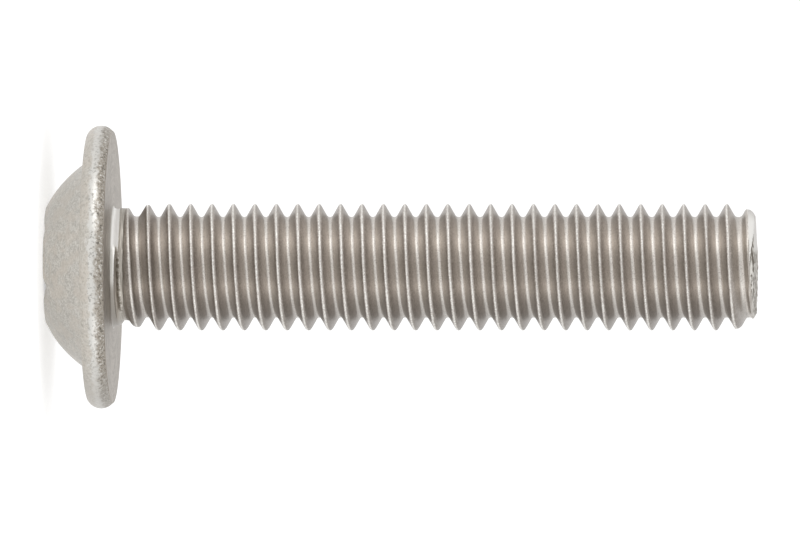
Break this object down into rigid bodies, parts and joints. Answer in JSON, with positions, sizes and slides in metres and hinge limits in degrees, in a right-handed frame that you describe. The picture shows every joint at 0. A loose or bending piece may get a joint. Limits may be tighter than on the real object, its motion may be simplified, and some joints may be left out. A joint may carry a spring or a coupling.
{
  "type": "button head screw",
  "caption": "Flanged button head screw with a hexagon socket and a right-hand metric thread up to its head.",
  "frame": {"origin": "centre of the head's flat top, on which the screw stands", "axes": "+Z along the screw's axis, from the head to the tip of the thread; +X and +Y across it"},
  "size_m": [0.0132, 0.0132, 0.0331],
  "materials": {
    "stainless": "plain cold formed stainless steel, satin on the head, burnished along the rim and the thread's crests"
  },
  "bodies": {
    "root": {"screw": "stainless"}
  },
  "joints": []
}
